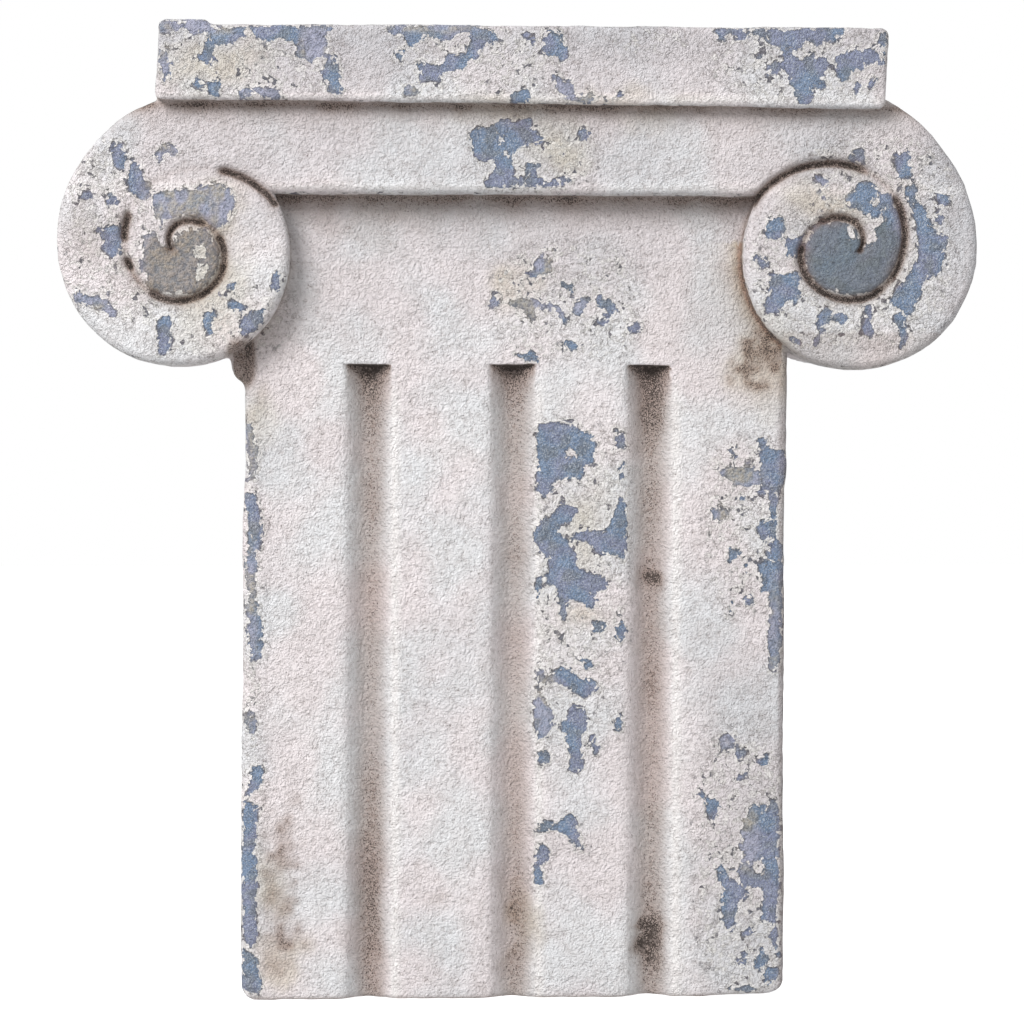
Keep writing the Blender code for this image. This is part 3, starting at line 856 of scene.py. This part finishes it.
def picture_place(points):
    """Where points in millimetres show in the picture, across and down in pixels."""
    forward = np.array([math.sin(VIEW_TURN), math.cos(VIEW_TURN), 0.0])
    right = np.array([math.cos(VIEW_TURN), -math.sin(VIEW_TURN), 0.0])
    offset = points - (np.array([0.0, HEAD_FRONT, EYE_LEVEL]) - forward * VIEW_DISTANCE)
    depth = offset @ forward
    focal = VIEW_DISTANCE / MM_A_PIXEL
    return SEEN_MIDDLE + focal * (offset @ right) / depth, PICTURE_SIZE / 2 - focal * offset[:, 2] / depth


def add_camera():
    camera = bpy.data.cameras.new("camera")
    camera.sensor_width = SENSOR_WIDTH
    camera.lens = VIEW_DISTANCE / MM_A_PIXEL * SENSOR_WIDTH / PICTURE_SIZE
    camera.clip_end = 50.0
    seen = bpy.data.objects.new("camera", camera)
    aside = (PICTURE_SIZE / 2 - SEEN_MIDDLE) * MM_A_PIXEL
    seen.location = (
        (aside * math.cos(VIEW_TURN) - VIEW_DISTANCE * math.sin(VIEW_TURN)) * MM,
        (HEAD_FRONT - aside * math.sin(VIEW_TURN) - VIEW_DISTANCE * math.cos(VIEW_TURN)) * MM,
        EYE_LEVEL * MM,
    )
    seen.rotation_euler = (math.pi / 2, 0.0, -VIEW_TURN)
    bpy.context.scene.collection.objects.link(seen)
    bpy.context.scene.camera = seen


def add_light(name, place, size, power):
    """A soft square light that faces the middle of the casting."""
    light = bpy.data.lights.new(name, "AREA")
    light.size = size
    light.energy = power
    lamp = bpy.data.objects.new(name, light)
    lamp.location = place
    lamp.rotation_euler = (Vector(place) - Vector(LIT_MIDDLE)).to_track_quat("Z", "Y").to_euler()
    bpy.context.scene.collection.objects.link(lamp)


def add_studio():
    world = bpy.data.worlds.new("studio")
    world.use_nodes = True
    background = world.node_tree.nodes["Background"]
    nodes, links = world.node_tree.nodes, world.node_tree.links
    rays = nodes.new("ShaderNodeLightPath")
    share = nodes.new("ShaderNodeMapRange")
    share.inputs["To Min"].default_value = SKY_LIGHT
    links.new(rays.outputs["Is Camera Ray"], share.inputs["Value"])
    links.new(share.outputs["Result"], background.inputs["Strength"])
    background.inputs["Color"].default_value = (1.0, 1.0, 1.0, 1.0)
    bpy.context.scene.world = world
    bpy.context.scene.view_settings.view_transform = "Standard"

    corners = [(FLOOR_REACH * a, FLOOR_REACH * b, 0.0) for a, b in ((-1, -1), (1, -1), (1, 1), (-1, 1))]
    floor = bpy.data.objects.new("floor", new_mesh("floor", corners, [(0, 1, 2, 3)]))
    bpy.context.scene.collection.objects.link(floor)
    look = Look("pale_floor")
    look.finish({"Base Color": (0.9, 0.9, 0.9, 1.0), "Roughness": 0.9})
    look.finish({"Emission Color": (1.0, 1.0, 1.0, 1.0), "Emission Strength": FLOOR_GLOW})
    floor.data.materials.append(look.material)
    floor.visible_diffuse = False


# Shader maths


class Number:
    """A shader value. Sums and products of it add the nodes that work them out."""

    def __init__(self, look, socket):
        self.look = look
        self.socket = socket

    def maths(self, operation, *values):
        return self.look.node("ShaderNodeMath", {"operation": operation}, dict(enumerate(values)))

    def __add__(self, other):
        return self.maths("ADD", self, other)

    def __sub__(self, other):
        return self.maths("SUBTRACT", self, other)

    def __rsub__(self, other):
        return self.maths("SUBTRACT", other, self)

    def __mul__(self, other):
        return self.maths("MULTIPLY", self, other)

    __radd__ = __add__
    __rmul__ = __mul__

    def most(self, other):
        return self.maths("MAXIMUM", self, other)

    def least(self, other):
        return self.maths("MINIMUM", self, other)

    def between(self, low, high):
        """0 below low, 1 above high, with an S-shaped rise, or the fall where high is the lesser."""
        settings = {"interpolation_type": "SMOOTHSTEP"}
        sockets = {"Value": self, "From Min": low, "From Max": high}
        return self.look.node("ShaderNodeMapRange", settings, sockets)


class Look:
    """A material and the nodes that make its finish."""

    def __init__(self, name):
        self.material = bpy.data.materials.new(name)
        self.material.use_nodes = True
        self.tree = self.material.node_tree
        self.shader = self.tree.nodes["Principled BSDF"]

    def node(self, kind, settings=None, sockets=None, output=0):
        """Adds a node, sets it up, then fills its sockets with values or links."""
        made = self.tree.nodes.new(kind)
        for name, value in (settings or {}).items():
            setattr(made, name, value)
        self.fill(made, sockets or {})
        return Number(self, made.outputs[output])

    def fill(self, node, sockets):
        for name, value in sockets.items():
            if isinstance(value, Number):
                self.tree.links.new(value.socket, node.inputs[name])
            else:
                node.inputs[name].default_value = value

    def finish(self, sockets):
        self.fill(self.shader, sockets)

    def place(self):
        return self.node("ShaderNodeTexCoord", output="Object")

    def painted(self, name):
        return self.node("ShaderNodeAttribute", {"attribute_name": name}, output="Fac")

    def noise(self, scale, detail, roughness=0.5, distortion=0.0):
        """Cloudy noise from 0 to 1, scale lumps to the metre."""
        sockets = {"Vector": self.place(), "Scale": scale, "Detail": detail}
        sockets.update({"Roughness": roughness, "Distortion": distortion})
        return self.node("ShaderNodeTexNoise", None, sockets)

    def cells(self, scale):
        """One random number for each small cell, scale cells to the metre."""
        sockets = {"Vector": self.place(), "Scale": scale}
        return self.node("ShaderNodeTexVoronoi", None, sockets, output="Color")

    def grains(self, scale):
        """Distance to the nearest of many grains, scale grains to the metre."""
        sockets = {"Vector": self.place(), "Scale": scale}
        return self.node("ShaderNodeTexVoronoi", None, sockets, output="Distance")

    def mix(self, share, first, second):
        """The first colour where share is 0, the second where it is 1."""
        return self.node("ShaderNodeMix", {"data_type": "RGBA"}, {0: share, 6: first, 7: second}, output=2)


def rgb(red, green, blue):
    """A colour given as it looks on screen, from 0 to 255, as the light that it sends back."""
    screen = np.array([red, green, blue]) / 255.0
    light = np.where(screen <= 0.04045, screen / 12.92, ((screen + 0.055) / 1.055) ** 2.4)
    return (*light.tolist(), 1.0)


# Colours as they look on screen, from 0 to 255: the top coat, the older paint, the wash, the grime, and the
# painted shade and highlights
WARM_COAT = rgb(244, 235, 236)
COOL_COAT = rgb(238, 238, 240)
GREY_FILM_AND_SHADE = rgb(186, 185, 190)
RUBBED_COAT_AND_HIGHLIGHT = rgb(254, 250, 248)
DULL_COAT = rgb(214, 206, 204)
PIT_SHADE = rgb(150, 136, 132)
DARK_DUST = rgb(96, 82, 76)
PALE_OCHRE = rgb(208, 194, 164)
DEEP_OCHRE = rgb(158, 118, 84)
CURLED_EDGE = rgb(110, 96, 90)
SMALL_FLECK = rgb(118, 116, 122)
TORN_LIP_AND_HIGHLIGHT = rgb(246, 243, 238)
BLUE_PAINT = rgb(124, 144, 172)
VIOLET_PAINT = rgb(138, 144, 170)
GREY_PAINT = rgb(118, 124, 130)
CHALKED_PAINT = rgb(198, 204, 212)
PAINT_EDGE = rgb(128, 118, 114)
EYE_PAINT = rgb(108, 117, 120)
COOL_WASH = rgb(180, 180, 198)
WARM_WASH = rgb(188, 180, 168)
EYE_WASH = rgb(172, 158, 144)
PAINT_PIT_AND_SHADOW = rgb(74, 78, 90)
DIRT_AND_SHADE_HAZE = rgb(136, 108, 90)
DIRT_AND_SHADE_CRUST = rgb(48, 38, 33)


class Grain:
    """What the finishes share: the painted marks, the sand's patterns, and the torn edge between coat and
    older paint. The coat is gone where the chip mark is above zero once small flakes, each with its own
    random strength, and torn edges are added to it."""

    def __init__(self, look):
        self.chip = look.painted("chip")
        self.dirt_and_shade = look.painted("dirt_and_shade")
        self.stain_and_shade = look.painted("stain_and_shade")
        self.eye = look.painted("eye")
        self.wash = look.painted("wash")
        self.film_and_painted_light = look.painted("film_and_painted_light")
        self.lumps = look.noise(110.0, 1.0)
        self.sand = look.noise(430.0, 4.0, 0.68)
        self.dust = look.noise(1500.0, 1.0, 0.6)
        self.crumbs = look.cells(480.0)
        tear = look.noise(330.0, 2.0, 0.62, 0.6)
        edge = self.chip.least(4.4) + 1.0 + (look.cells(170.0) - 0.5) * 5.0 + (self.crumbs - 0.5) * 5.5
        edge = edge + (tear - 0.5) * 7.0
        self.bare = edge.between(-0.6, 0.6)
        # Just inside a patch's edge: where the coat's torn edge throws a painted shadow on the paint
        self.shadow_under_lip = edge.between(0.2, 0.9) * edge.between(2.6, 0.9)
        self.lip = edge.between(-3.5, -1.0) * (1 - self.bare)
        self.rough = self.chip.between(-12.0, -4.5)
        self.pits = ((0.5 - self.sand) * 3.6).most(0.0).least(1.0)
        sideways = tear - 0.5
        self.curl = (1 - sideways * sideways * 700.0).most(0.0) * self.crumbs.between(0.35, 0.6) * self.rough


def sandy_coat(look, grain):
    """The lime coat: dulled by a thin grey layer and painted shade, brightened by rubbing and painted
    highlights, pitted, dusted, stained and flecked.
    """
    broad = look.noise(24.0, 1.0)
    flecks = grain.crumbs.between(0.82, 0.86) * grain.sand.between(0.5, 0.44) * grain.rough
    dusted = grain.dust.between(0.6, 0.68) * grain.sand.between(0.5, 0.4)
    coat = look.mix(broad.between(0.38, 0.62), WARM_COAT, COOL_COAT)
    # The grey layer and painted shade dull the coat; below zero the same mark brightens it, as rubbing and
    # painted highlight
    coat = look.mix((grain.film_and_painted_light * (grain.lumps + 0.55)).most(0.0).least(0.9), coat, GREY_FILM_AND_SHADE)
    coat = look.mix((grain.film_and_painted_light * -0.8).most(0.0).least(0.8), coat, RUBBED_COAT_AND_HIGHLIGHT)
    coat = look.mix(grain.lumps.between(0.3, 0.7) * 0.25, coat, DULL_COAT)
    coat = look.mix(grain.pits * 0.5, coat, PIT_SHADE)
    coat = look.mix(dusted * 0.6, coat, DARK_DUST)
    # Ochre stains, and the painted shade beside the right scroll's rim, from one mark
    stained = look.mix(grain.stain_and_shade.between(0.75, 1.3), PALE_OCHRE, DEEP_OCHRE)
    coat = look.mix((grain.stain_and_shade * (0.2 + grain.sand * 0.8)).least(0.75), coat, stained)
    coat = look.mix(grain.curl * 0.45, coat, CURLED_EDGE)
    coat = look.mix(flecks * 0.8, coat, SMALL_FLECK)
    # The coat's torn lip around each patch: brighter, its own cleaner coat with a painted highlight
    return look.mix(grain.lip * 0.5, coat, TORN_LIP_AND_HIGHLIGHT)


def older_paint(look, grain):
    """The blue paint under the coat: chalked, browner near its edges, greyer in the scrolls' eyes, washed
    over in places, dark in its pits, and darker just under the coat's lip, a painted shadow of the coat's
    torn edge."""
    paint = look.mix(look.noise(60.0, 1.0).between(0.42, 0.58), BLUE_PAINT, VIOLET_PAINT)
    paint = look.mix(grain.lumps.between(0.52, 0.64) * 0.6, paint, GREY_PAINT)
    paint = look.mix(grain.dust.between(0.5, 0.66) * 0.6, paint, CHALKED_PAINT)
    paint = look.mix(grain.chip.between(-0.5, -3.0) * 0.7, paint, PAINT_EDGE)
    paint = look.mix(grain.eye * 0.65, paint, EYE_PAINT)
    thin_coat = look.mix(look.noise(75.0, 1.0).between(0.46, 0.56), COOL_WASH, WARM_WASH)
    thin_coat = look.mix(grain.eye * 0.85, thin_coat, EYE_WASH)
    paint = look.mix(grain.wash * (grain.sand.between(0.36, 0.64) * 0.5 + 0.4), paint, thin_coat)
    # Dark pits, and the painted shadow of the coat's torn edge
    return look.mix((grain.pits * 0.6 + grain.shadow_under_lip * 0.35).least(0.8), paint, PAINT_PIT_AND_SHADOW)


def soiled_and_shaded(look, grain, surface):
    """Grime and painted shade over a surface, from one mark: a brown haze, and dark specks where the mark,
    broken up by the same grain, is high, with light grains left in their crust."""
    haze = look.mix((grain.dirt_and_shade * (grain.sand + 0.35)).least(0.74), surface, DIRT_AND_SHADE_HAZE)
    specks = (grain.dirt_and_shade + (grain.dust - 0.5) * 2.2 + (grain.sand - 0.5) * 1.5).between(0.88, 1.12)
    crust = specks * (0.92 - grain.sand.between(0.53, 0.62) * 0.5)
    return look.mix(crust, haze, DIRT_AND_SHADE_CRUST)


def weathered_plaster():
    """Sandy lime coat over older blue paint, both grimy and with painted shade and highlights, with the
    coat's thickness and the sand raised.
    """
    look = Look("weathered_plaster")
    grain = Grain(look)
    surface = look.mix(grain.bare, sandy_coat(look, grain), older_paint(look, grain))
    relief = grain.lumps * 1.0 + grain.sand * 2.3 + grain.dust * 0.9 - look.grains(720.0) * 0.7
    relief = relief + grain.crumbs * grain.rough * 0.4 + grain.curl * 0.45
    height = relief + (1 - grain.bare) * 0.9 + grain.lip * 0.3
    bump = look.node("ShaderNodeBump", None, {"Strength": 1.0, "Distance": MM, "Height": height})
    look.finish({"Base Color": soiled_and_shaded(look, grain, surface), "Roughness": 0.9, "Normal": bump})
    return look.material


casting = build_casting()
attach(casting, "root")
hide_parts("column")
casting.data.materials.append(weathered_plaster())

add_camera()
add_studio()
add_light("key", KEY_PLACE, KEY_SIZE, KEY_POWER)
